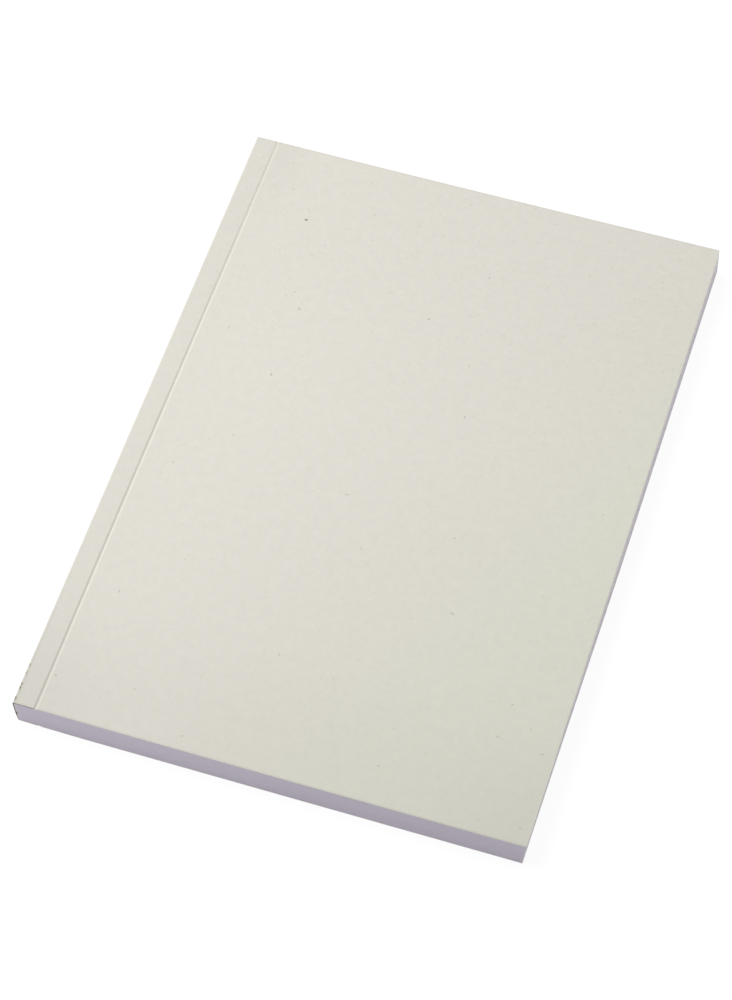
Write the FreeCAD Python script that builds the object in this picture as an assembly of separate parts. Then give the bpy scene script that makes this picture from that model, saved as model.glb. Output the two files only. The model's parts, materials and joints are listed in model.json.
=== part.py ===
import FreeCAD, Part
import math
import os

# Softcover notebook: a glued block of blank leaves in a wrapped card cover.
#
# Units are millimetres. The notebook lies on its back cover: +X runs from the spine to the
# fore-edge, +Y from the tail to the head, and +Z up. The origin is under the middle of the
# notebook, on the plane that it lies on.
#
# Every piece has one constant section across the spine, drawn on the tail's plane and run to
# the head, because head, tail and fore-edge are trimmed in one go after the cover is on.

# Trimmed size
TRIM_WIDTH = 148.0  # from the spine's outer face to the fore-edge
TRIM_HEIGHT = 210.0  # from the tail to the head

# Leaves
LEAF_COUNT = 100
LEAF_THICKNESS = 0.10

# Cover card: one sheet, creased at both spine folds and at both hinge scores
CARD_THICKNESS = 0.33
FOLD_RADIUS = 0.50  # outside of the two spine folds
SCORE_DISTANCE = 6.65  # from the spine's outer face to the middle of a hinge score
SCORE_WIDTH = 1.30
SCORE_DEPTH = 0.12

# Hot-melt adhesive: a film on the spine, and a strip on the first and last leaf
SPINE_GLUE_THICKNESS = 0.40
SIDE_GLUE_THICKNESS = 0.10  # the leaves are nipped by this much, so the card lies flat over it
SIDE_GLUE_WIDTH = 4.50  # from the back of the leaves

# Levels and places that follow from the sizes above
BLOCK_THICKNESS = LEAF_COUNT * LEAF_THICKNESS
THICKNESS = BLOCK_THICKNESS + 2 * CARD_THICKNESS
MIDDLE = THICKNESS / 2
SPINE_X = -TRIM_WIDTH / 2
FORE_EDGE_X = TRIM_WIDTH / 2
SCORE_X = SPINE_X + SCORE_DISTANCE
GLUE_X = SPINE_X + CARD_THICKNESS
LEAF_BACK_X = GLUE_X + SPINE_GLUE_THICKNESS
NIP_X = LEAF_BACK_X + SIDE_GLUE_WIDTH
BLOCK_TOP = THICKNESS - CARD_THICKNESS
NIPPED_TOP = BLOCK_TOP - SIDE_GLUE_THICKNESS
FOLD_X = SPINE_X + FOLD_RADIUS
FOLD_Z = THICKNESS - FOLD_RADIUS


def at(x, z):
    """Return a point of a section, which lies on the tail's plane."""
    return FreeCAD.Vector(x, -TRIM_HEIGHT / 2, z)


def mirrored(points):
    """Return the points reflected to the back cover's side, in reverse order."""
    return [at(p.x, THICKNESS - p.z) for p in reversed(points)]


def on_circle(centre_x, centre_z, radius, degrees):
    """Return the point at this angle from +X towards +Z."""
    angle = math.radians(degrees)
    return at(centre_x + radius * math.cos(angle), centre_z + radius * math.sin(angle))


def line(start, end):
    """Return a straight edge."""
    return Part.LineSegment(start, end).toShape()


def arc(points):
    """Return a round edge through three points."""
    return Part.Arc(*points).toShape()


def run_to_head(edges):
    """Return the solid whose section these edges enclose."""
    face = Part.Face(Part.Wire(edges))
    return face.extrude(FreeCAD.Vector(0, TRIM_HEIGHT, 0))


def fold_arc(radius):
    """Return three points round the front spine fold, from the top to the spine."""
    return [on_circle(FOLD_X, FOLD_Z, radius, degrees) for degrees in (90, 135, 180)]


def score_arc(side):
    """Return three points of half a hinge score, from its bottom to its rim.

    The score is a shallow round trough. Side is -1 for its spine half and +1 for its other half.
    """
    radius = (SCORE_WIDTH ** 2 / 4 + SCORE_DEPTH ** 2) / (2 * SCORE_DEPTH)
    centre_z = THICKNESS - SCORE_DEPTH + radius
    half_angle = math.degrees(math.asin(SCORE_WIDTH / 2 / radius))
    angles = (0, side * half_angle / 2, side * half_angle)
    return [on_circle(SCORE_X, centre_z, radius, -90 + angle) for angle in angles]


def page_block():
    """Return the leaves, cut square, and nipped thinner along the spine."""
    front = [
        at(LEAF_BACK_X, NIPPED_TOP),
        at(NIP_X, NIPPED_TOP),
        at(NIP_X, BLOCK_TOP),
        at(FORE_EDGE_X, BLOCK_TOP),
    ]
    outline = front + mirrored(front)
    following = outline[1:] + outline[:1]
    return run_to_head([line(start, end) for start, end in zip(outline, following)])


def spine_adhesive():
    """Return the glue that fills the space between the leaves and the folded card."""
    front_fold = fold_arc(FOLD_RADIUS - CARD_THICKNESS)
    back_fold = mirrored(front_fold)
    inside = [
        at(NIP_X, CARD_THICKNESS),
        at(NIP_X, CARD_THICKNESS + SIDE_GLUE_THICKNESS),
        at(LEAF_BACK_X, CARD_THICKNESS + SIDE_GLUE_THICKNESS),
        at(LEAF_BACK_X, NIPPED_TOP),
        at(NIP_X, NIPPED_TOP),
        at(NIP_X, BLOCK_TOP),
    ]
    edges = [line(start, end) for start, end in zip(inside, inside[1:])]
    edges.append(line(inside[-1], front_fold[0]))
    edges.append(arc(front_fold))
    edges.append(line(front_fold[-1], back_fold[0]))
    edges.append(arc(back_fold))
    edges.append(line(back_fold[-1], inside[0]))
    return run_to_head(edges)


def cover_spine():
    """Return the part of the cover that is glued down: the spine and both hinge strips."""
    score = score_arc(-1)
    outer_fold = fold_arc(FOLD_RADIUS)
    inner_fold = fold_arc(FOLD_RADIUS - CARD_THICKNESS)
    inner_end = at(SCORE_X, BLOCK_TOP)
    back_score = mirrored(score)
    back_outer_fold = mirrored(outer_fold)
    back_inner_fold = mirrored(inner_fold)
    back_inner_end = at(SCORE_X, CARD_THICKNESS)
    edges = [
        arc(score),
        line(score[-1], outer_fold[0]),
        arc(outer_fold),
        line(outer_fold[-1], back_outer_fold[0]),
        arc(back_outer_fold),
        line(back_outer_fold[-1], back_score[0]),
        arc(back_score),
        line(back_score[-1], back_inner_end),
        line(back_inner_end, back_inner_fold[-1]),
        arc(list(reversed(back_inner_fold))),
        line(back_inner_fold[0], inner_fold[-1]),
        arc(list(reversed(inner_fold))),
        line(inner_fold[0], inner_end),
        line(inner_end, score[0]),
    ]
    return run_to_head(edges)


def front_cover():
    """Return the cover's front panel, free from the hinge score to the fore-edge."""
    score = score_arc(1)
    straight = [
        score[-1],
        at(FORE_EDGE_X, THICKNESS),
        at(FORE_EDGE_X, BLOCK_TOP),
        at(SCORE_X, BLOCK_TOP),
        score[0],
    ]
    edges = [arc(score)] + [line(start, end) for start, end in zip(straight, straight[1:])]
    return run_to_head(edges)


def back_cover():
    """Return the cover's back panel, the front one turned over."""
    return front_cover().mirror(at(0, MIDDLE), FreeCAD.Vector(0, 0, 1))


PIECES = {
    "page_block": page_block,
    "spine_adhesive": spine_adhesive,
    "cover_spine": cover_spine,
    "front_cover": front_cover,
    "back_cover": back_cover,
}

os.makedirs("parts", exist_ok=True)
for node, make in PIECES.items():
    make().exportStep(f"parts/{node}.step")
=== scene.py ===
import json
import math
import random

import bmesh
import bpy
import numpy as np
from mathutils import Matrix, Vector

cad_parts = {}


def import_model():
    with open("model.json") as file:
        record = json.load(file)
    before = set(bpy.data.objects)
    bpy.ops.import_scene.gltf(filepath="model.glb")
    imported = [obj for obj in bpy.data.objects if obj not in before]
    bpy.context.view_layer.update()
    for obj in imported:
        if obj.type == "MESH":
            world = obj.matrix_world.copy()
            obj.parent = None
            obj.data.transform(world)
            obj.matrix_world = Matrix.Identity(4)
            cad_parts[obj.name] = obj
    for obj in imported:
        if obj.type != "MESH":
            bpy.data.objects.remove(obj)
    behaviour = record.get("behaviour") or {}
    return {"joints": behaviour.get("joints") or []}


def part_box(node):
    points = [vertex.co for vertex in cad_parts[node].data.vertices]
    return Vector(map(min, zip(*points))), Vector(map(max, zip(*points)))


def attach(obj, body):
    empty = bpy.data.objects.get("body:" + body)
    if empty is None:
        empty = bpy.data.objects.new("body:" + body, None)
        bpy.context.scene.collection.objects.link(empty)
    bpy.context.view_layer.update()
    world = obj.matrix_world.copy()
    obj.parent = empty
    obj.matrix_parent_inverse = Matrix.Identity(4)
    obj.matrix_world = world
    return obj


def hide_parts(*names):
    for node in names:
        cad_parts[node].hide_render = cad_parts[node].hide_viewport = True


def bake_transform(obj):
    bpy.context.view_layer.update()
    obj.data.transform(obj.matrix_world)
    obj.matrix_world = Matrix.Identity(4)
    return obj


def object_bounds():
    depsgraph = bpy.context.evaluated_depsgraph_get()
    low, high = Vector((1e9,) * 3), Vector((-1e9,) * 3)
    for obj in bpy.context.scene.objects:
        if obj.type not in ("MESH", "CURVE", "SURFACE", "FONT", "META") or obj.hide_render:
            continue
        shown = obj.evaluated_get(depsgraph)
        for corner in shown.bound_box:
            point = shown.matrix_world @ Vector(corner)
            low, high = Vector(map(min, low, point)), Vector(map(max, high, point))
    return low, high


# Softcover notebook: the looks of a card cover, a block of leaves and the glue between them.
# Lengths are metres in the frame's axes: +X from the spine to the fore-edge, +Y from the tail
# to the head, +Z up. Places come from the frame, and sizes that it doesn't hold are named here.

MM = 0.001

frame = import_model()
CAD_LOW, CAD_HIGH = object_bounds()

# Places in the frame
SPINE_X, TAIL_Y, _ = CAD_LOW
FORE_X, HEAD_Y, TOP_Z = CAD_HIGH
SCORE_X = frame["joints"][0]["pos_m"][0]
BLOCK_LOW, BLOCK_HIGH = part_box("page_block")
_, GLUE_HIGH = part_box("spine_adhesive")
CARD = TOP_Z - BLOCK_HIGH.z

# Card
FOLD_RADIUS = 0.50 * MM
SCORE_HALF_WIDTH = 0.72 * MM
SCORE_DEPTH_HEAD = 0.19 * MM
SCORE_DEPTH_TAIL = 0.33 * MM
SCORE_WANDER = 0.08 * MM
SCORE_WAVE = 0.20  # the length over which the score wanders off and back
SCORE_START = -0.015  # where along the spine it lies on its own line
SCORE_DEEPENING = 0.55  # share of the height, from the head, over which it deepens
CUT_ROUND_WIDTH = 0.06 * MM
CUT_ROUND_HEIGHT = 0.13 * MM
CUT_SHARES = (0, 0.08, 0.35, 1)  # shares of the round's width at which it has points
CUT_STEPS = len(CUT_SHARES) - 1
FOLD_STEPS = 10
SHARP_ANGLE = 40  # degrees from which an edge is shaded sharp
FOLD_X = SPINE_X + FOLD_RADIUS
HALF_SPINE = (TOP_Z - 2 * FOLD_RADIUS + math.pi * FOLD_RADIUS) / 2  # round the outer face

# Leaves
LEAF_COUNT = 100
LEAF_GAP = 0.008 * MM
LEAF_SHORTFALL = 0.02  # millimetres, about how far a leaf stops short of the cut
NIP_DEPTH = 0.10 * MM
NIP_FADE = 2.0 * MM

# Glue
GLUE_SHORTFALL = 0.03 * MM  # from each end of the notebook
GLUE_STEP = 0.1 * MM  # the place that materials read grows by this from point to point

# How the bound block departs from square, from the front cover down to the back cover
SPINE_LEAN = 0.41 * MM
LEAN_POWER = 1.75
LEAN_REACH = 12.0 * MM
FORE_SKEW_AT_HEAD = 0.25 * MM
FORE_SKEW_AT_TAIL = 0.91 * MM
FORE_SKEW_START = 0.45  # share of the height, from the head, where it begins to grow
FORE_SKEW_REACH = 20.0 * MM
TAIL_SKEW_AT_SPINE = 0.30 * MM
TAIL_SKEW_AT_FORE = 0.13 * MM
TAIL_SKEW_REACH = 20.0 * MM
HEAD_SKEW = 0.16 * MM
TAIL_SKEW = 0.10 * MM
SAG = 0.29 * MM  # how far the front sinks between its corners, clear of the spine
SAG_START = 30.0 * MM
FRONT_BLUNT = 0.46 * MM  # how far the worn front corner at the head of the fore-edge draws in
FRONT_BLUNT_REACH = 4.0 * MM
FRONT_BLUNT_POWER = 1.5
BACK_BLUNT = 0.30 * MM  # how far the worn back corner at the tail of the spine draws in
BACK_BLUNT_REACH = 24.0 * MM
BACK_BLUNT_POWER = 2

# Wear on the front fold near the tail: a run of short scuffs, spread by a seeded rule
SCUFF_COUNT = 5
SCUFF_RUN = 14.0 * MM  # from the tail
NICK_DEPTH = 0.05 * MM
NICK_MIDDLE = 0.4 * MM  # below the front face
NICK_REACH = 0.8 * MM
NICK_WALL = 0.3 * MM  # how far in from the spine's face it fades away
CARD_CHIP = -1.0 * MM  # along the spine's cut at the tail, from its middle
GLUE_CHIP = 1.84 * MM  # the same place in the glue's own count

# Camera, fitted to the notebook's corners and edges in the photograph
CAMERA_PLACE = Vector((0.15688, -0.47929, 0.77979))
CAMERA_TURN = 18.680  # degrees from +Y towards -X
CAMERA_DIP = 57.350  # degrees below the horizon
CAMERA_ROLL = 1.068  # degrees
SENSOR = 36  # millimetres wide
LENS = 114.47  # millimetres

# Floor
FLOOR_REACH = 6.0  # from the middle to each side
FLOOR_DROP = 0.02 * MM  # below the plane that the notebook lies on
FLOOR_PAINT = 0.7  # how light it is to the notebook
FLOOR_SHADOW = 0.22  # the share of it that shows the shadow to the camera
FLOOR_CLEAR = 0.86  # the share that lets what is behind it through to the camera
FLOOR_CONTACT = 2.0 * MM  # faces nearer than this get the light from below it

# Light
SKY_STRENGTH = 0.47

random_source = random.Random(7)
mark_source = random.Random(11)
scuff_source = random.Random(5)


# ---------------------------------------------------------------- meshes


def smoothstep(value):
    """Ease a number or array from 0 to 1."""
    t = np.clip(value, 0, 1)
    return t * t * (3 - 2 * t)


def bulge(share):
    """Return 1 in the middle of a length and 0 at its ends."""
    return 4 * share * (1 - share)


def near_corner(across, along, reach):
    """Return 1 at a corner of the sheet, eased to 0 at a distance from it."""
    return np.clip(1 - np.hypot(across, along) / reach, 0, 1) ** 2


def settle(points):
    """Lean the spine, skew the trimmed edges and let the front sink between its corners."""
    x, y, z = points.T
    height = np.clip(z / TOP_Z, 0, 1)
    depth = 1 - height
    lean = SPINE_LEAN * depth ** LEAN_POWER * smoothstep(1 - (x - SPINE_X) / LEAN_REACH)
    towards_tail = (HEAD_Y - y) / (HEAD_Y - TAIL_Y)
    growth = smoothstep((towards_tail - FORE_SKEW_START) / (1 - FORE_SKEW_START))
    fore = FORE_SKEW_AT_HEAD + (FORE_SKEW_AT_TAIL - FORE_SKEW_AT_HEAD) * growth
    fore = fore * depth * smoothstep(1 - (FORE_X - x) / FORE_SKEW_REACH)
    towards_fore = (x - SPINE_X) / (FORE_X - SPINE_X)
    tail = TAIL_SKEW_AT_SPINE + (TAIL_SKEW_AT_FORE - TAIL_SKEW_AT_SPINE) * towards_fore
    tail = tail * depth * smoothstep(1 - (y - TAIL_Y) / TAIL_SKEW_REACH)
    tail = tail + TAIL_SKEW * towards_fore ** 2 * smoothstep(1 - (y - TAIL_Y) / TAIL_SKEW_REACH)
    head = HEAD_SKEW * towards_fore * smoothstep(1 - (HEAD_Y - y) / TAIL_SKEW_REACH)
    front_blunt = FRONT_BLUNT * near_corner(FORE_X - x, HEAD_Y - y, FRONT_BLUNT_REACH)
    back_blunt = BACK_BLUNT * near_corner(x - SPINE_X, y - TAIL_Y, BACK_BLUNT_REACH)
    sag = SAG * (1 - (1 - bulge(towards_fore)) * (1 - bulge(towards_tail)))
    sag = sag * smoothstep((x - SPINE_X) / SAG_START) * height
    moved = points.copy()
    moved[:, 0] += lean - fore - front_blunt * height ** FRONT_BLUNT_POWER
    moved[:, 1] += tail - head + back_blunt * depth ** BACK_BLUNT_POWER
    moved[:, 2] -= sag
    return moved


def spaced(start, end, largest):
    """Return evenly spaced values from start to end, no further apart than largest."""
    return list(np.linspace(start, end, max(2, math.ceil(abs(end - start) / largest) + 1)))


def joined(*runs):
    """Join runs of values that share their end values."""
    values = list(runs[0])
    for run in runs[1:]:
        values += run[1:]
    return values


def near_cut(edge, inwards):
    """Return places just inside a cut edge, which round it over."""
    return [edge + inwards * CUT_ROUND_WIDTH * share for share in CUT_SHARES]


def cut_drop(distance):
    """Return how far the outer face rounds down at a distance from the cut."""
    short = min(max(1 - distance / CUT_ROUND_WIDTH, 0), 1)
    return CUT_ROUND_HEIGHT * (1 - math.sqrt(1 - short ** 2))


def card_lengthwise(fine_to, fine, coarse):
    """Return places from the tail to the head, with rounded cuts at both ends."""
    tail = near_cut(TAIL_Y, 1)
    head = near_cut(HEAD_Y, -1)[::-1]
    middle = spaced(tail[-1], fine_to, fine)
    corner = spaced(head[0] - FRONT_BLUNT_REACH, head[0], 0.5 * MM)
    return joined(tail, middle, spaced(fine_to, corner[0], coarse), corner, head)


def sheet(name, outer, inner, along, lengthwise, materials, cut_rows=0, cut_columns=0):
    """Make a closed sheet from two facing lines of (x, z), carried from the tail to the head.

    along holds each point's distance across the flat sheet, which the materials read with the
    lengthwise place and the depth in the card. The outer face rounds over into the cut in its
    first and last cut_rows, and in its last cut_columns. A long side with no cut columns ends
    flush against the next piece of the same card.
    """
    outer = np.array(outer)
    inner = np.array(inner)
    stations = len(outer)
    rows = len(lengthwise)
    points = []
    places = []
    for y in lengthwise:
        for i in range(stations):
            distance = min(y - TAIL_Y, HEAD_Y - y) if cut_rows else math.inf
            if cut_columns:
                distance = min(distance, FORE_X - outer[i][0])
            gap = inner[i] - outer[i]
            x, z = outer[i] + gap * cut_drop(distance) / np.linalg.norm(gap)
            points.append((x, y, z))
            places.append((along[i], y, 0))
        for i in range(stations):
            points.append((inner[i][0], y, inner[i][1]))
            places.append((along[i], y, CARD))
    faces = []
    kinds = []
    row = 2 * stations
    last = stations - 1

    def add(kind, *corners):
        faces.append(corners)
        kinds.append(kind)

    for j in range(rows - 1):
        a = j * row
        b = a + row
        row_cut = j < cut_rows or j >= rows - 1 - cut_rows
        for i in range(last):
            cut = row_cut or i >= last - cut_columns
            add(int(cut), a + i, a + i + 1, b + i + 1, b + i)
            k = stations + i
            add(0, a + k + 1, a + k, b + k, b + k + 1)
        add(0, a, b, b + stations, a + stations)
        add(int(cut_columns > 0), a + last, a + row - 1, b + row - 1, b + last)
    for a in (0, (rows - 1) * row):
        for i in range(last):
            add(1, a + i, a + stations + i, a + stations + i + 1, a + i + 1)
    return make_piece(name, np.array(points), faces, kinds, places, materials)


def make_piece(name, points, faces, kinds, places, materials):
    """Make an object from points, faces, each face's material and each point's flat place."""
    mesh = bpy.data.meshes.new(name)
    mesh.from_pydata(settle(points).tolist(), [], faces)
    for material in materials:
        mesh.materials.append(material)
    mesh.polygons.foreach_set("material_index", kinds)
    attribute = mesh.attributes.new("flat_place", "FLOAT_VECTOR", "POINT")
    attribute.data.foreach_set("vector", np.array(places, dtype=np.float32).ravel())
    outwards = bmesh.new()
    outwards.from_mesh(mesh)
    bmesh.ops.recalc_face_normals(outwards, faces=outwards.faces)
    outwards.to_mesh(mesh)
    outwards.free()
    mesh.shade_smooth()
    mesh.set_sharp_from_angle(angle=math.radians(SHARP_ANGLE))
    mesh.update()
    piece = bpy.data.objects.new(name, mesh)
    bpy.context.scene.collection.objects.link(piece)
    return piece


# ---------------------------------------------------------------- materials


def colour(red, green, blue):
    """Return a colour written as 0 to 255 in a picture as the shader's own values."""
    channels = [c / 255 for c in (red, green, blue)]
    linear = [c / 12.92 if c <= 0.04045 else ((c + 0.055) / 1.055) ** 2.4 for c in channels]
    return (*linear, 1)


class Shader:
    """A material's nodes, added by short calls. A value is a number, a colour or a socket."""

    def __init__(self, name):
        self.material = bpy.data.materials.new(name)
        self.material.use_nodes = True
        self.tree = self.material.node_tree
        self.surface = self.tree.nodes["Principled BSDF"]

    def put(self, value, socket):
        """Link a socket to an input, or set the input's own value."""
        if isinstance(value, bpy.types.NodeSocket):
            self.tree.links.new(value, socket)
        else:
            socket.default_value = value

    def add(self, kind, inputs, **settings):
        """Add a node, with its settings, and its inputs by name or number."""
        node = self.tree.nodes.new("ShaderNode" + kind)
        for key, value in settings.items():
            setattr(node, key, value)
        for key, value in inputs.items():
            self.put(value, node.inputs[key])
        return node

    def finish(self, **inputs):
        """Set the surface's inputs, named with underscores, and return the material."""
        for key, value in inputs.items():
            self.put(value, self.surface.inputs[key.replace("_", " ")])
        return self.material

    def flat_place(self):
        """Return the place on the flat sheet, in metres."""
        return self.add("Attribute", {}, attribute_name="flat_place").outputs["Vector"]

    def parts(self, place):
        """Return the three parts of a place."""
        return self.add("SeparateXYZ", {"Vector": place}).outputs[:]

    def stretched(self, place, *sizes):
        """Return a place divided by a size along each axis."""
        scale = [1 / size for size in sizes]
        return self.add("Mapping", {"Vector": place, "Scale": scale}).outputs["Vector"]

    def shifted(self, place, distance):
        """Return a place moved aside, where the same noise has another pattern."""
        moved = self.add("VectorMath", {0: place, 1: (distance,) * 3}, operation="ADD")
        return moved.outputs[0]

    def noise(self, place, size=1.0, detail=2.0, roughness=0.5):
        """Return noise from 0 to 1 whose features are about this size in metres."""
        inputs = {"Vector": place, "Scale": 1 / size, "Detail": detail, "Roughness": roughness}
        return self.add("TexNoise", inputs).outputs["Fac"]

    def math(self, operation, *values):
        """Return the result of a Math node."""
        return self.add("Math", dict(enumerate(values)), operation=operation).outputs[0]

    def ramp(self, value, low, high, start=0.0, end=1.0):
        """Return start below low and end above high, eased between."""
        limits = {"From Min": low, "From Max": high, "To Min": start, "To Max": end}
        inputs = {"Value": value, **limits}
        return self.add("MapRange", inputs, interpolation_type="SMOOTHSTEP").outputs["Result"]

    def around(self, value, middle, reach):
        """Return 1 at a middle value, eased to 0 this far to either side."""
        away = self.math("ABSOLUTE", self.math("SUBTRACT", value, middle))
        return self.ramp(away, 0.25 * reach, reach, 1, 0)

    def most(self, *values):
        """Return the greatest of the values."""
        result = values[0]
        for value in values[1:]:
            result = self.math("MAXIMUM", result, value)
        return result

    def product(self, *values):
        """Return the product of the values."""
        result = values[0]
        for value in values[1:]:
            result = self.math("MULTIPLY", result, value)
        return result

    def mix(self, factor, first, second):
        """Return a colour between two, by a factor from 0 to 1."""
        node = self.add("Mix", {}, data_type="RGBA")
        for name, value in (("Factor_Float", factor), ("A_Color", first), ("B_Color", second)):
            self.put(value, next(s for s in node.inputs if s.identifier == name))
        return next(s for s in node.outputs if s.identifier == "Result_Color")

    def scaled(self, shade, amount):
        """Return a colour multiplied by an amount."""
        return self.add("VectorMath", {"Vector": shade, "Scale": amount}, operation="SCALE").outputs[0]

    def bump(self, height, depth, under=None):
        """Return the normal of a relief this deep, in metres, over another relief's normal."""
        inputs = {"Height": height, "Distance": depth}
        if under:
            inputs["Normal"] = under
        return self.add("Bump", inputs).outputs["Normal"]

    def specks(self, place, cell, chance, radius):
        """Return 1 inside round flecks scattered over the sheet, at most one to a cell."""
        inputs = {"Vector": place, "Scale": 1 / cell}
        cells = self.add("TexVoronoi", inputs, voronoi_dimensions="2D")
        pick, size, _ = self.parts(cells.outputs["Color"])
        chosen = self.math("LESS_THAN", pick, chance)
        widest = self.ramp(size, 0, 1, 0.5 * radius / cell, radius / cell)
        share = self.math("DIVIDE", cells.outputs["Distance"], widest)
        return self.product(chosen, self.ramp(share, 0.4, 1, 1, 0))

    def fibres(self, place, cell, chance, length, width):
        """Return 1 along short curved fibres laid every way, at most one to a cell."""
        inputs = {"Vector": place, "Scale": 1 / cell}
        cells = self.add("TexVoronoi", inputs, voronoi_dimensions="2D")
        pick, turn, bend = self.parts(cells.outputs["Color"])
        chosen = self.math("LESS_THAN", pick, chance)
        middle = cells.outputs["Position"]
        away = self.add("VectorMath", {0: place, 1: middle}, operation="SUBTRACT").outputs[0]
        angle = self.math("MULTIPLY", turn, 2 * math.pi)
        turned = self.add("VectorRotate", {"Vector": away, "Angle": angle}, rotation_type="Z_AXIS")
        along, beside, _ = self.parts(turned.outputs[0])
        curl = self.ramp(bend, 0, 1, -0.8 / length, 0.8 / length)
        bow = self.product(curl, along, along)
        off_line = self.math("ABSOLUTE", self.math("SUBTRACT", beside, bow))
        in_width = self.ramp(off_line, 0.3 * width, 0.7 * width, 1, 0)
        in_length = self.ramp(self.math("ABSOLUTE", along), 0.4 * length, 0.5 * length, 1, 0)
        return self.product(chosen, in_width, in_length)

    def mark(self, place, x, y, length, width, degrees, strength):
        """Return the strength inside one soft oval mark, easing to 0 just past its rim."""
        inputs = {
            "Vector": place,
            "Location": (x, y, 0),
            "Rotation": (0, 0, math.radians(degrees)),
            "Scale": (length / 2, width / 2, 1),
        }
        local = self.add("Mapping", inputs, vector_type="TEXTURE").outputs["Vector"]
        reach = self.add("VectorMath", {0: local}, operation="LENGTH").outputs["Value"]
        return self.ramp(reach, 0.4, 1.2, strength, 0)


# Blemishes of the front: the share of the way across from the spine and down from the head, length
# and width in millimetres, degrees from the spine-to-fore direction, and strength. One dark speck
# is about where the photo shows it. The strays are scattered by a seeded rule.
DARK_SPECK = (1 / 6, 1 / 8, 1.1, 0.8, 30, 0.9)
STRAY_MARKS = 35


def stray_mark():
    """Return one small blemish at a seeded place on the front."""
    across = mark_source.uniform(0.02, 0.98)
    down = mark_source.uniform(0.02, 0.98)
    length = mark_source.uniform(0.7, 1.6)
    width = mark_source.uniform(0.4, 0.8)
    degrees = mark_source.uniform(-90, 90)
    strength = mark_source.uniform(0.13, 0.38)
    return across, down, length, width, degrees, strength


def front_marks():
    """Return the front's blemishes: the dark speck and the strays."""
    return [DARK_SPECK] + [stray_mark() for _ in range(STRAY_MARKS)]


def spread_scuffs():
    """Return the scuffs of the front fold: place along the spine, length, and strength."""
    scuffs = []
    for step in range(SCUFF_COUNT):
        share = (step + scuff_source.uniform(0.2, 0.8)) / SCUFF_COUNT
        length = scuff_source.uniform(1.0, 1.7) * MM
        scuffs.append((TAIL_Y + share * SCUFF_RUN, length, scuff_source.uniform(0.6, 1.0)))
    return scuffs


SCUFFS = spread_scuffs()


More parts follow.
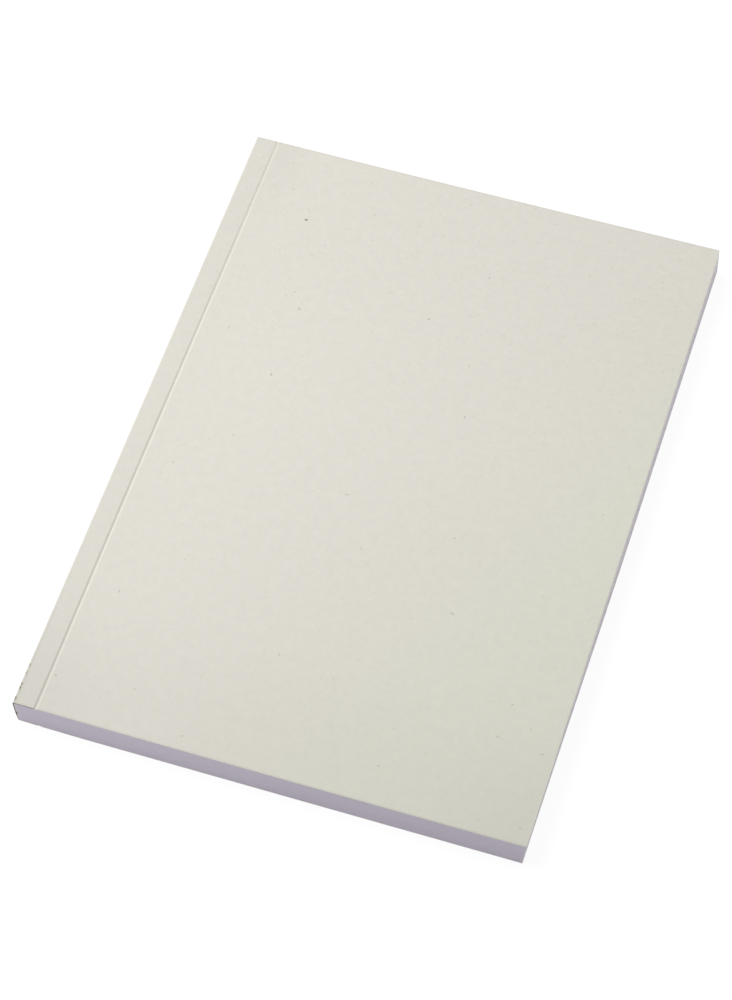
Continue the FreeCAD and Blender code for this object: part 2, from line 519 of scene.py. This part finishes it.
def card_face():
    """Pale card: cloudy, flecked and soiled where handled, with painted shade towards the tail and
    fore-edge.
    """
    s = Shader("cover_card")
    place = s.flat_place()
    across, along, depth = s.parts(place)
    reach = s.math("ABSOLUTE", across)
    outside = s.ramp(depth, 0.4 * CARD, 0.6 * CARD, 1, 0)
    front = s.product(outside, s.math("GREATER_THAN", across, 0))

    # The card is a little yellower towards the fore-edge and the tail, and darker there with painted
    # shade, where the lamp's light falls off. These tones, and those of the ends and corners below,
    # are a fit to the photograph, rounded.
    yellower_towards_fore = s.ramp(s.math("ADD", reach, s.product(along, -0.45)), 0.080, 0.152)
    tone = s.mix(yellower_towards_fore, colour(224.5, 221, 212), colour(224.5, 223, 210))
    # Painted shade: the fall-off of the lamp's light towards the fore-edge and the tail
    falloff_shade = s.ramp(s.math("ADD", reach, s.product(along, -1.05)), 0.0, 0.40, 1, 0.908)

    # Its furnish: greener blotches, faint clouds, and soft smudges that gather in places
    blotches = s.ramp(s.noise(place, 3 * MM, 4, 0.7), 0.45, 0.75, 0, 0.4)
    tone = s.mix(blotches, tone, colour(221, 221, 206))
    clouds = s.noise(place, 3.2 * MM, 4, 0.8)
    clouded = s.ramp(clouds, 0.2, 0.8, 0.97, 1.03)
    gathered = s.ramp(s.noise(place, 9 * MM, 2, 0.5), 0.3, 0.7, 0.4, 1)
    towards_head = s.ramp(along, -0.01, 0.08, 0.65, 1)
    smudges = s.ramp(s.noise(place, 1.3 * MM, 1, 0.5), 0.56, 0.80)
    smudged = s.ramp(s.product(smudges, gathered, towards_head), 0, 1, 1, 0.905)
    tufts = s.ramp(s.noise(s.shifted(place, 0.5), 1.0 * MM, 1, 0.5), 0.60, 0.85, 1, 1.03)

    # The glued strips and the spine are a little duller, and so are the ends and the panel beside its
    # score, most of all at the head. The tail's end and its corners are darker with painted shade.
    strip_end = HALF_SPINE + SCORE_X - FOLD_X
    glued = s.ramp(reach, strip_end - 0.3 * MM, strip_end + 0.2 * MM, 0.962, 1)
    from_axis = s.math("ABSOLUTE", s.math("SUBTRACT", reach, HALF_SPINE - FOLD_X))
    head_end = s.ramp(along, 0.005, HEAD_Y, 1, 0.968)
    # Painted shade: the tail darkens where the lamp's light falls off
    tail_shade = s.ramp(along, TAIL_Y, -0.055, 0.966, 1)
    corner = s.product(s.ramp(along, TAIL_Y, -0.060, 1, 0), s.ramp(from_axis, 0.034, FORE_X))
    # Painted shade in the tail's corner towards the fore-edge
    corner_shade = s.ramp(corner, 0, 1, 1, 0.971)
    near_score = s.ramp(reach, strip_end, strip_end + 16 * MM, 1, 0)
    panel = s.ramp(reach, strip_end - 0.3 * MM, strip_end + 0.2 * MM)
    score_side_towards_head = s.product(near_score, panel, s.ramp(along, 0.070, HEAD_Y, 0.35, 1))
    darker_by_score = s.ramp(score_side_towards_head, 0, 1, 1, 0.955)
    ends_and_shade = s.product(head_end, tail_shade, corner_shade, darker_by_score)
    # The card's own clouds, smudges and tufts, together with the painted shade above
    light = s.product(falloff_shade, clouded, smudged, tufts, glued, ends_and_shade)
    tone = s.scaled(tone, light)

    # Specks and short fibres in the card
    fleck = s.most(
        s.product(s.specks(place, 9.0 * MM, 0.30, 0.42 * MM), 0.15),
        s.product(s.specks(place, 3.0 * MM, 0.40, 0.45 * MM), 0.05),
        s.product(s.fibres(place, 10.0 * MM, 0.30, 1.5 * MM, 0.40 * MM), 0.07),
        s.product(s.fibres(place, 3.5 * MM, 0.40, 0.8 * MM, 0.26 * MM), 0.04),
    )
    tone = s.mix(s.product(fleck, towards_head), tone, colour(120, 116, 98))

    # Blemishes on the front
    marks = []
    for share_across, share_down, length, width, degrees, strength in front_marks():
        x = SPINE_X + share_across * (FORE_X - SPINE_X)
        y = HEAD_Y - share_down * (HEAD_Y - TAIL_Y)
        size = (length * MM, width * MM)
        marks.append(s.mark(place, HALF_SPINE + x - FOLD_X, y, *size, degrees, strength))
    blemish = s.product(s.most(*marks), front)
    tone = s.mix(blemish, tone, colour(112, 110, 96))

    # Soil: along the cut edges, and on the front fold towards the tail, with its scuffs
    ragged = s.noise(place, 0.7 * MM, 3, 0.7)
    rim = s.ramp(along, HEAD_Y - 0.8 * MM, HEAD_Y, 0, 0.20)
    fold = s.around(across, HALF_SPINE, 0.9 * MM)
    soil = s.product(fold, s.ramp(along, TAIL_Y, -0.045, 0.4, 0))
    tone = s.mix(s.product(s.most(rim, soil), ragged), tone, colour(170, 176, 158))
    narrow = s.around(across, HALF_SPINE - 0.25 * MM, 0.6 * MM)
    scuffs = []
    for middle, length, strength in SCUFFS:
        scuffs.append(s.product(s.around(along, middle, 0.7 * length), strength))
    scuff = s.product(s.most(*scuffs), narrow, s.ramp(ragged, 0.35, 0.6, 0.2, 1), outside)
    tone = s.mix(scuff, tone, colour(104, 102, 76))

    tooth = s.bump(s.noise(place, 0.35 * MM, 2, 0.6), 0.006 * MM)
    relief = s.bump(s.noise(place, 2.5 * MM, 2, 0.5), 0.012 * MM, tooth)
    shine = s.ramp(clouds, 0.2, 0.8, 0.78, 0.88)
    return s.finish(Base_Color=tone, Roughness=shine, Normal=relief)


def card_cut():
    """The card's cut edge: a pale core, darker with glue and painted shade by the leaves, and soiled
    round the front fold.
    """
    s = Shader("card_cut")
    place = s.flat_place()
    across, along, depth = s.parts(place)
    reach = s.math("ABSOLUTE", across)
    streaks = s.noise(s.stretched(place, 1.5 * MM, 1.5 * MM, 0.05 * MM), 1.0, 3, 0.7)
    tone = s.mix(streaks, colour(238, 231, 230), colour(225, 218, 219))
    back = s.ramp(across, -HALF_SPINE, 0, 1, 0)
    tone = s.mix(back, tone, colour(224, 214, 228))

    # A dark line in the card's lower half, where it meets the leaves, strongest near the spine, and
    # one
    # along the glued front strip: painted shade of the gap under the card, with glue in it. Soil on
    # the strip's fold. The strip's line and the soil are strongest at the tail
    stronger_at_tail = s.ramp(along, TAIL_Y, HEAD_Y, 1, 0.25)
    inner = s.product(s.ramp(depth, 0.45 * CARD, 0.9 * CARD), s.ramp(reach, 0.010, 0.030, 1, 0.35))
    glued = s.product(s.ramp(reach, 0.010, 0.013, 0.8, 0), s.ramp(across, -HALF_SPINE, 0), stronger_at_tail)
    # The colour of the dark line under the card: painted shade, with glue
    tone = s.mix(s.most(inner, glued), tone, colour(130, 122, 122))
    towards_front = s.ramp(across, -HALF_SPINE, 0, 0.25, 1)
    to_strip = s.ramp(across, HALF_SPINE - 0.8 * MM, HALF_SPINE + 1.0 * MM, 1, 0)
    fold = s.product(towards_front, to_strip)
    outer = s.ramp(depth, 0.50 * CARD, 0.95 * CARD, 1, 0.4)
    patches = s.ramp(s.noise(place, 1.1 * MM, 3, 0.7), 0.35, 0.65, 0.6, 1)
    tone = s.mix(s.product(fold, patches, outer, stronger_at_tail), tone, colour(92, 90, 74))
    chip = s.product(s.around(across, CARD_CHIP, 1.0 * MM), s.ramp(along, TAIL_Y, 0, 1, 0))
    tone = s.mix(chip, tone, colour(30, 28, 22))
    relief = s.bump(streaks, 0.02 * MM)
    return s.finish(Base_Color=tone, Roughness=0.92, Normal=relief)


def leaf_face():
    """Smooth white writing paper with the faint clouds of its making."""
    s = Shader("leaf_face")
    place = s.flat_place()
    clouds = s.noise(place, 5 * MM, 4, 0.7)
    tone = s.mix(clouds, colour(240, 238, 245), colour(233, 231, 238))
    relief = s.bump(s.noise(place, 0.25 * MM, 2, 0.6), 0.003 * MM)
    return s.finish(Base_Color=tone, Roughness=0.88, Normal=relief)


def leaf_cut():
    """The leaves' cut edges: lilac-white, each its own shade, with faint knife marks and painted light
    and shade.
    """
    s = Shader("leaf_cut")
    place = s.flat_place()
    across, _, _ = s.parts(place)
    each = s.noise(s.stretched(place, 0.030, 0.030, 0.12 * MM), 1.0, 1, 0.5)
    batches = s.noise(s.stretched(place, 0.060, 0.060, 1.4 * MM), 1.0, 2, 0.5)
    knife = s.noise(s.stretched(place, 0.5 * MM, 0.5 * MM, 0.025), 1.0, 3, 0.7)
    tone = s.mix(batches, colour(234, 226, 242), colour(229, 221, 236))
    # Painted shade: darker towards the fore-edge, as the light from the spine's side falls off
    tone = s.scaled(tone, s.ramp(across, SPINE_X, FORE_X, 1, 0.90))
    # Painted light: the fore-edge face is paler than the tail's, as though it were lit more
    fore = s.ramp(across, FORE_X - 0.30 * MM, FORE_X - 0.12 * MM)
    tone = s.mix(fore, tone, colour(243, 237, 243))
    light = s.product(s.ramp(each, 0.25, 0.75, 0.955, 1.03), s.ramp(knife, 0.2, 0.8, 0.985, 1.015))
    tone = s.scaled(tone, light)
    relief = s.bump(knife, 0.010 * MM)
    return s.finish(Base_Color=tone, Roughness=0.93, Normal=relief)


def glue_surface():
    """Set hot-melt: cloudy white, waxy and a little uneven."""
    s = Shader("hot_melt")
    place = s.flat_place()
    cloud = s.noise(s.stretched(place, 2 * MM, 9 * MM, 2 * MM), 1.0, 3, 0.6)
    tone = s.mix(cloud, colour(219, 213, 215), colour(204, 198, 200))

    # Dirt in the glue's end, beside the chip in the card
    across, along, _ = s.parts(place)
    dirt = s.product(s.around(across, GLUE_CHIP, 0.14 * MM), s.ramp(along, TAIL_Y, 0, 1, 0))
    tone = s.mix(dirt, tone, colour(105, 100, 92))
    relief = s.bump(s.noise(place, 1.2 * MM, 2, 0.5), 0.03 * MM)
    shine = s.ramp(cloud, 0.3, 0.7, 0.30, 0.50)
    return s.finish(Base_Color=tone, Roughness=shine, Normal=relief)


CARD_FACE = card_face()
CARD_CUT = card_cut()
LEAF_FACE = leaf_face()
LEAF_CUT = leaf_cut()
GLUE = glue_surface()


# ---------------------------------------------------------------- pieces


def score_depth(x, y):
    """Return how deep the pressed hinge score is at a place on the cover."""
    share = smoothstep((HEAD_Y - y) / (SCORE_DEEPENING * (HEAD_Y - TAIL_Y)))
    depth = SCORE_DEPTH_HEAD + (SCORE_DEPTH_TAIL - SCORE_DEPTH_HEAD) * share
    turn = 2 * math.pi * (y - SCORE_START) / SCORE_WAVE
    middle = SCORE_X + SCORE_WANDER * (1 - math.cos(turn))
    reach = min(abs(x - middle) / SCORE_HALF_WIDTH, 1)
    return depth * (0.5 + 0.5 * math.cos(math.pi * reach))


def cover_panel(name, front):
    """Make one side of the cover: the glued strip, the hinge score and the free panel."""
    cut = near_cut(FORE_X, -1)[::-1]
    xs = joined(
        spaced(FOLD_X, SCORE_X - 1 * MM, 1.2 * MM),
        spaced(SCORE_X - 1 * MM, SCORE_X + 1 * MM, 0.1 * MM),
        spaced(SCORE_X + 1 * MM, SCORE_X + 2 * MM, 0.5 * MM),
        spaced(SCORE_X + 2 * MM, cut[0] - FRONT_BLUNT_REACH, 6 * MM),
        spaced(cut[0] - FRONT_BLUNT_REACH, cut[0], 0.5 * MM),
        cut,
    )
    face_z = TOP_Z if front else 0.0
    inside_z = TOP_Z - CARD if front else CARD
    outer = [(x, face_z) for x in xs]
    inner = [(x, inside_z) for x in xs]
    side = 1 if front else -1
    along = [side * (HALF_SPINE + x - FOLD_X) for x in xs]
    lengthwise = card_lengthwise(TAIL_Y + 4 * MM, 0.8 * MM, 5 * MM)
    card = [CARD_FACE, CARD_CUT]
    piece = sheet(name, outer, inner, along, lengthwise, card, CUT_STEPS, CUT_STEPS)
    press_score(piece, face_z, inside_z)
    return piece


def press_score(piece, face_z, inside_z):
    """Press the hinge score into the panel's outer face."""
    inwards = 1 if inside_z > face_z else -1
    for vertex in piece.data.vertices:
        x, y, z = vertex.co
        share = 1 - abs(z - face_z) / CARD
        vertex.co.z += inwards * score_depth(x, y) * share


def spine_section(inwards):
    """Return the spine's section, this far inside the card, from the front strip to the back."""
    radius = FOLD_RADIUS - inwards
    front_z = TOP_Z - FOLD_RADIUS
    points = []
    for angle in np.linspace(math.pi / 2, math.pi, FOLD_STEPS + 1):
        points.append((FOLD_X + radius * math.cos(angle), front_z + radius * math.sin(angle)))
    for z in spaced(front_z, FOLD_RADIUS, 0.8 * MM)[1:-1]:
        points.append((SPINE_X + inwards, z))
    for angle in np.linspace(math.pi, 1.5 * math.pi, FOLD_STEPS + 1):
        points.append((FOLD_X + radius * math.cos(angle), FOLD_RADIUS + radius * math.sin(angle)))
    return points


def spine_card():
    """Make the spine of the cover, between the two glued strips."""
    outer = spine_section(0)
    inner = spine_section(CARD)
    steps = np.linalg.norm(np.diff(np.array(outer), axis=0), axis=1)
    along = [HALF_SPINE] + list(HALF_SPINE - np.cumsum(steps))
    lengthwise = card_lengthwise(TAIL_Y + 20 * MM, 0.5 * MM, 3 * MM)
    card = [CARD_FACE, CARD_CUT]
    piece = sheet("spine_card", outer, inner, along, lengthwise, card, CUT_STEPS)
    nick_fold(piece)
    return piece


def nick_fold(piece):
    """Dent the front fold where it is scuffed."""
    for vertex in piece.data.vertices:
        x, y, z = vertex.co
        height = smoothstep(1 - abs(z - (TOP_Z - NICK_MIDDLE)) / NICK_REACH)
        wall = smoothstep(1 - (x - SPINE_X) / NICK_WALL)
        dent = max(s * smoothstep(1 - abs(y - place) / length) for place, length, s in SCUFFS)
        vertex.co.x += NICK_DEPTH * dent * height * wall


def leaf_faces(start, stations, rows):
    """Return a leaf's faces and their materials, from the number of its first point."""
    faces = []
    kinds = []
    row = 2 * stations
    last = stations - 1
    for j in range(rows - 1):
        a = start + j * row
        b = a + row
        for i in range(last):
            faces.append((a + i, a + i + 1, b + i + 1, b + i))
            k = stations + i
            faces.append((a + k + 1, a + k, b + k, b + k + 1))
            kinds += [0, 0]
        faces.append((a, b, b + stations, a + stations))
        faces.append((a + last, a + row - 1, b + row - 1, b + last))
        kinds += [1, 1]
    for a, turn in ((start, 1), (start + (rows - 1) * row, -1)):
        for i in range(last):
            corners = (a + i, a + stations + i, a + stations + i + 1, a + i + 1)
            faces.append(corners[::turn])
            kinds.append(1)
    return faces, kinds


def trimmed_short(leaf):
    """Return how far a leaf stops short of the cut at the tail, the head and the fore-edge."""
    drift = 0.012 * math.sin(leaf * 0.37) + 0.010 * math.sin(leaf * 1.13 + 2)
    tail = (LEAF_SHORTFALL + drift + random_source.uniform(0, LEAF_SHORTFALL)) * MM
    head = (LEAF_SHORTFALL - drift + random_source.uniform(0, LEAF_SHORTFALL)) * MM
    fore = (LEAF_SHORTFALL + drift + random_source.uniform(0, LEAF_SHORTFALL)) * MM
    return tail, head, fore


def leaf_block():
    """Make the leaves, each a closed sheet a hair apart from the next."""
    xs = joined(
        spaced(BLOCK_LOW.x, GLUE_HIGH.x, 2 * MM),
        spaced(GLUE_HIGH.x, GLUE_HIGH.x + NIP_FADE, 0.5 * MM),
        spaced(GLUE_HIGH.x + NIP_FADE, SPINE_X + BACK_BLUNT_REACH, 6 * MM),
        spaced(SPINE_X + BACK_BLUNT_REACH, FORE_X - FORE_SKEW_REACH, 35 * MM),
        spaced(FORE_X - FORE_SKEW_REACH, FORE_X - FRONT_BLUNT_REACH, 10 * MM),
        spaced(FORE_X - FRONT_BLUNT_REACH, FORE_X, 1.3 * MM),
    )
    ys = joined(
        spaced(TAIL_Y, HEAD_Y - FRONT_BLUNT_REACH, 12 * MM),
        spaced(HEAD_Y - FRONT_BLUNT_REACH, HEAD_Y, 1.3 * MM),
    )
    middle = (BLOCK_LOW.z + BLOCK_HIGH.z) / 2
    pitch = (BLOCK_HIGH.z - BLOCK_LOW.z) / LEAF_COUNT
    nipped = 1 - 2 * NIP_DEPTH / (BLOCK_HIGH.z - BLOCK_LOW.z)
    squeeze = [nipped + (1 - nipped) * smoothstep((x - GLUE_HIGH.x) / NIP_FADE) for x in xs]
    points, faces, kinds, places = [], [], [], []
    for leaf in range(LEAF_COUNT):
        low = BLOCK_LOW.z + leaf * pitch + LEAF_GAP / 2
        high = low + pitch - LEAF_GAP
        tail, head, fore = trimmed_short(leaf)
        new_faces, new_kinds = leaf_faces(len(points), len(xs), len(ys))
        faces += new_faces
        kinds += new_kinds
        for y in ys:
            y = min(max(y, TAIL_Y + tail), HEAD_Y - head)
            for z in (high, low):
                for x, share in zip(xs, squeeze):
                    points.append((min(x, FORE_X - fore), y, middle + (z - middle) * share))
                    places.append((x, y, leaf * 0.01))
    return make_piece("leaf_block", np.array(points), faces, kinds, places, [LEAF_FACE, LEAF_CUT])


def spine_glue():
    """Make the glue: a film on the leaves' backs that turns over onto the outer leaves."""
    reach = GLUE_HIGH.x
    section = spine_section(CARD)
    outer = [(reach, TOP_Z - CARD)] + section + [(reach, CARD)]
    inner_top = BLOCK_HIGH.z - NIP_DEPTH
    inner_bottom = BLOCK_LOW.z + NIP_DEPTH
    inner_z = [z for _, z in section]
    inner_z[:FOLD_STEPS] = np.linspace(inner_top, inner_z[FOLD_STEPS], FOLD_STEPS, endpoint=False)
    inner_z[-FOLD_STEPS:] = np.linspace(inner_bottom, FOLD_RADIUS, FOLD_STEPS, endpoint=False)[::-1]
    leaf_backs = [(BLOCK_LOW.x, z) for z in inner_z]
    inner = [(reach, inner_top)] + leaf_backs + [(reach, inner_bottom)]
    along = [GLUE_STEP * i for i in range(len(outer))]
    lengthwise = spaced(TAIL_Y + GLUE_SHORTFALL, HEAD_Y - GLUE_SHORTFALL, 6 * MM)
    return sheet("spine_glue", outer, inner, along, lengthwise, [GLUE, GLUE])


def assemble():
    """Make every piece, hang the spine, leaves and glue on the book block, and hide the parts they
    replace.
    """
    front = cover_panel("front_card", True)
    back = cover_panel("back_card", False)
    spine = spine_card()
    leaves = leaf_block()
    glue = spine_glue()
    for piece, body, z in ((front, "front_cover", TOP_Z), (back, "back_cover", 0)):
        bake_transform(piece)
        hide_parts(body)
    for piece, node, slot in (
        (spine, "cover_spine", "cover_card"),
        (leaves, "page_block", "leaves"),
        (glue, "spine_adhesive", "adhesive"),
    ):
        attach(piece, "book_block")
        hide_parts(node)


# ---------------------------------------------------------------- studio


def seen_directly(tree):
    """Return 1 for a ray from the camera, or one that a gloss or a clear piece passes on."""
    path = tree.nodes.new("ShaderNodeLightPath")
    seen = path.outputs["Is Camera Ray"]
    for kind in ("Is Glossy Ray", "Is Transmission Ray"):
        either = tree.nodes.new("ShaderNodeMath")
        either.operation = "MAXIMUM"
        tree.links.new(seen, either.inputs[0])
        tree.links.new(path.outputs[kind], either.inputs[1])
        seen = either.outputs[0]
    return seen


def floor():
    """Lay a floor that looks white where it is lit and keeps the notebook's soft shadow.

    The back cover opens below it. So the floor lets what is behind it show through, it is clear
    from below, and it lets light from below reach the faces that lie on it.
    """
    far = FLOOR_REACH
    mesh = bpy.data.meshes.new("floor")
    corners = [(-far, -far, 0), (far, -far, 0), (far, far, 0), (-far, far, 0)]
    mesh.from_pydata(corners, [], [(0, 1, 2, 3)])
    ground = bpy.data.objects.new("floor", mesh)
    ground.location.z = -FLOOR_DROP
    bpy.context.scene.collection.objects.link(ground)
    material = bpy.data.materials.new("floor")
    material.use_nodes = True
    tree = material.node_tree
    tree.nodes.clear()

    def surface(kind, shade):
        node = tree.nodes.new("ShaderNodeBsdf" + kind)
        node.inputs["Color"].default_value = (shade, shade, shade, 1)
        return node.outputs[0]

    def mixed(factor, first, second):
        node = tree.nodes.new("ShaderNodeMixShader")
        for socket, source in zip(node.inputs, (factor, first, second)):
            tree.links.new(source, socket)
        return node.outputs[0]

    clear = surface("Transparent", 1)
    seen = tree.nodes.new("ShaderNodeAddShader")
    tree.links.new(surface("Diffuse", FLOOR_SHADOW), seen.inputs[0])
    tree.links.new(surface("Transparent", FLOOR_CLEAR), seen.inputs[1])
    apart = tree.nodes.new("ShaderNodeMath")
    apart.operation = "GREATER_THAN"
    path = tree.nodes.new("ShaderNodeLightPath")
    tree.links.new(path.outputs["Ray Length"], apart.inputs[0])
    apart.inputs[1].default_value = FLOOR_CONTACT
    unseen = mixed(apart.outputs[0], clear, surface("Diffuse", FLOOR_PAINT))
    above = mixed(seen_directly(tree), unseen, seen.outputs[0])
    side = tree.nodes.new("ShaderNodeNewGeometry").outputs["Backfacing"]
    output = tree.nodes.new("ShaderNodeOutputMaterial")
    tree.links.new(mixed(side, above, clear), output.inputs["Surface"])
    mesh.materials.append(material)


def world():
    """Light everything softly from all round, and look white to the camera."""
    sky = bpy.data.worlds.new("studio")
    sky.use_nodes = True
    tree = sky.node_tree
    soft = tree.nodes["Background"]
    soft.inputs["Color"].default_value = (1, 1, 1, 1)
    soft.inputs["Strength"].default_value = SKY_STRENGTH
    white = tree.nodes.new("ShaderNodeBackground")
    white.inputs["Color"].default_value = (1, 1, 1, 1)
    white.inputs["Strength"].default_value = 1.0
    pick = tree.nodes.new("ShaderNodeMixShader")
    tree.links.new(seen_directly(tree), pick.inputs[0])
    tree.links.new(soft.outputs[0], pick.inputs[1])
    tree.links.new(white.outputs[0], pick.inputs[2])
    tree.links.new(pick.outputs[0], tree.nodes["World Output"].inputs["Surface"])
    bpy.context.scene.world = sky


def soft_lamp(name, size, watts, place):
    """Hang a square lamp at a place, aimed at the notebook."""
    lamp = bpy.data.lights.new(name, "AREA")
    lamp.shape = "SQUARE"
    lamp.size = size
    lamp.energy = watts
    holder = bpy.data.objects.new(name, lamp)
    holder.location = place
    holder.rotation_euler = (-holder.location).to_track_quat("-Z", "Y").to_euler()
    bpy.context.scene.collection.objects.link(holder)


def lights():
    """Hang a large lamp over the spine's side, and a weak low one beyond the shaded fore-edge."""
    soft_lamp("key", 0.9, 6.6, (-0.55, 0.15, 0.70))
    soft_lamp("fill", 0.5, 1.2, (0.90, 0.30, 0.14))


def camera():
    """Place the camera as the photograph was taken."""
    lens = bpy.data.cameras.new("camera")
    lens.lens = LENS
    lens.sensor_width = SENSOR
    lens.clip_start = 0.05
    lens.clip_end = 50
    holder = bpy.data.objects.new("camera", lens)
    turn = Matrix.Rotation(math.radians(CAMERA_TURN), 3, "Z")
    dip = Matrix.Rotation(math.radians(90 - CAMERA_DIP), 3, "X")
    roll = Matrix.Rotation(math.radians(-CAMERA_ROLL), 3, "Z")
    holder.matrix_world = Matrix.Translation(CAMERA_PLACE) @ (turn @ dip @ roll).to_4x4()
    bpy.context.scene.collection.objects.link(holder)
    bpy.context.scene.camera = holder


assemble()
floor()
world()
lights()
camera()
bpy.context.scene.view_settings.view_transform = "Standard"
